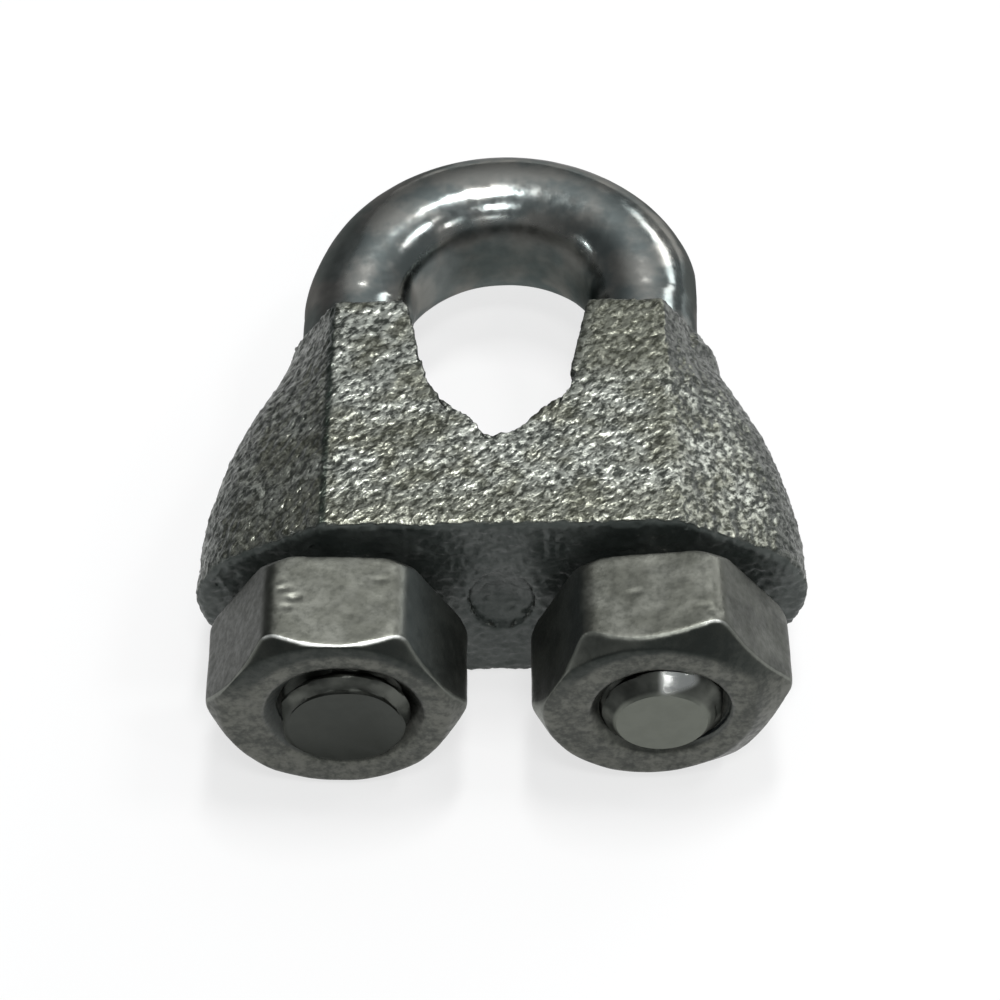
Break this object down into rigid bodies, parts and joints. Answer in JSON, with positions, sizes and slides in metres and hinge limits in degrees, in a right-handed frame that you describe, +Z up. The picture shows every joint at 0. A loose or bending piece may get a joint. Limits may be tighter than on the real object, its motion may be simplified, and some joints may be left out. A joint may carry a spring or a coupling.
{
  "type": "wire rope clip",
  "caption": "Wire rope clip: a U-bolt whose threaded legs carry a cast saddle with a V-shaped rope seat, drawn towards the bow by hex nuts.",
  "frame": {"origin": "bottom centre of the clip's box as it lies on the back face of its saddle, at rest", "axes": "+X across the two legs, +Y along the legs from the nuts towards the bow, +Z up, along the rope"},
  "size_m": [0.0278, 0.0342, 0.0112],
  "materials": {
    "zinc_plated_bolt": "bright zinc-plated round steel, smooth and glossy, with worn plating on its threads",
    "zinc_plated_casting": "zinc-plated malleable iron, as cast in sand: coarse grain, matt in its pits and bright on its peaks",
    "zinc_plated_nuts": "dulled zinc plating on a cold-formed steel nut, satin flats and dark greasy chamfers"
  },
  "bodies": {
    "u_bolt": {"u_bolt": "zinc_plated_bolt"},
    "saddle": {"saddle": "zinc_plated_casting"},
    "left_nut": {"left_nut": "zinc_plated_nuts"},
    "right_nut": {"right_nut": "zinc_plated_nuts"}
  },
  "joints": [
    {"name": "saddle_slide", "type": "slide", "parent": "u_bolt", "child": "saddle", "axis": [0, 1, 0], "range_m": [-0.0005, 0.005]},
    {"name": "left_nut_turn", "type": "hinge", "parent": "saddle", "child": "left_nut", "pos_m": [-0.007, -0.01413, 0.0056], "axis": [0, 1, 0], "range_deg": [-181, 1801]},
    {"name": "right_nut_turn", "type": "hinge", "parent": "saddle", "child": "right_nut", "pos_m": [0.007, -0.01413, 0.0056], "axis": [0, 1, 0], "range_deg": [-181, 1801]}
  ],
  "couplings": [
    {"joint": "left_nut_turn", "follows": "saddle_slide", "rad_per_m": 6283.2},
    {"joint": "right_nut_turn", "follows": "saddle_slide", "rad_per_m": 6283.2}
  ]
}
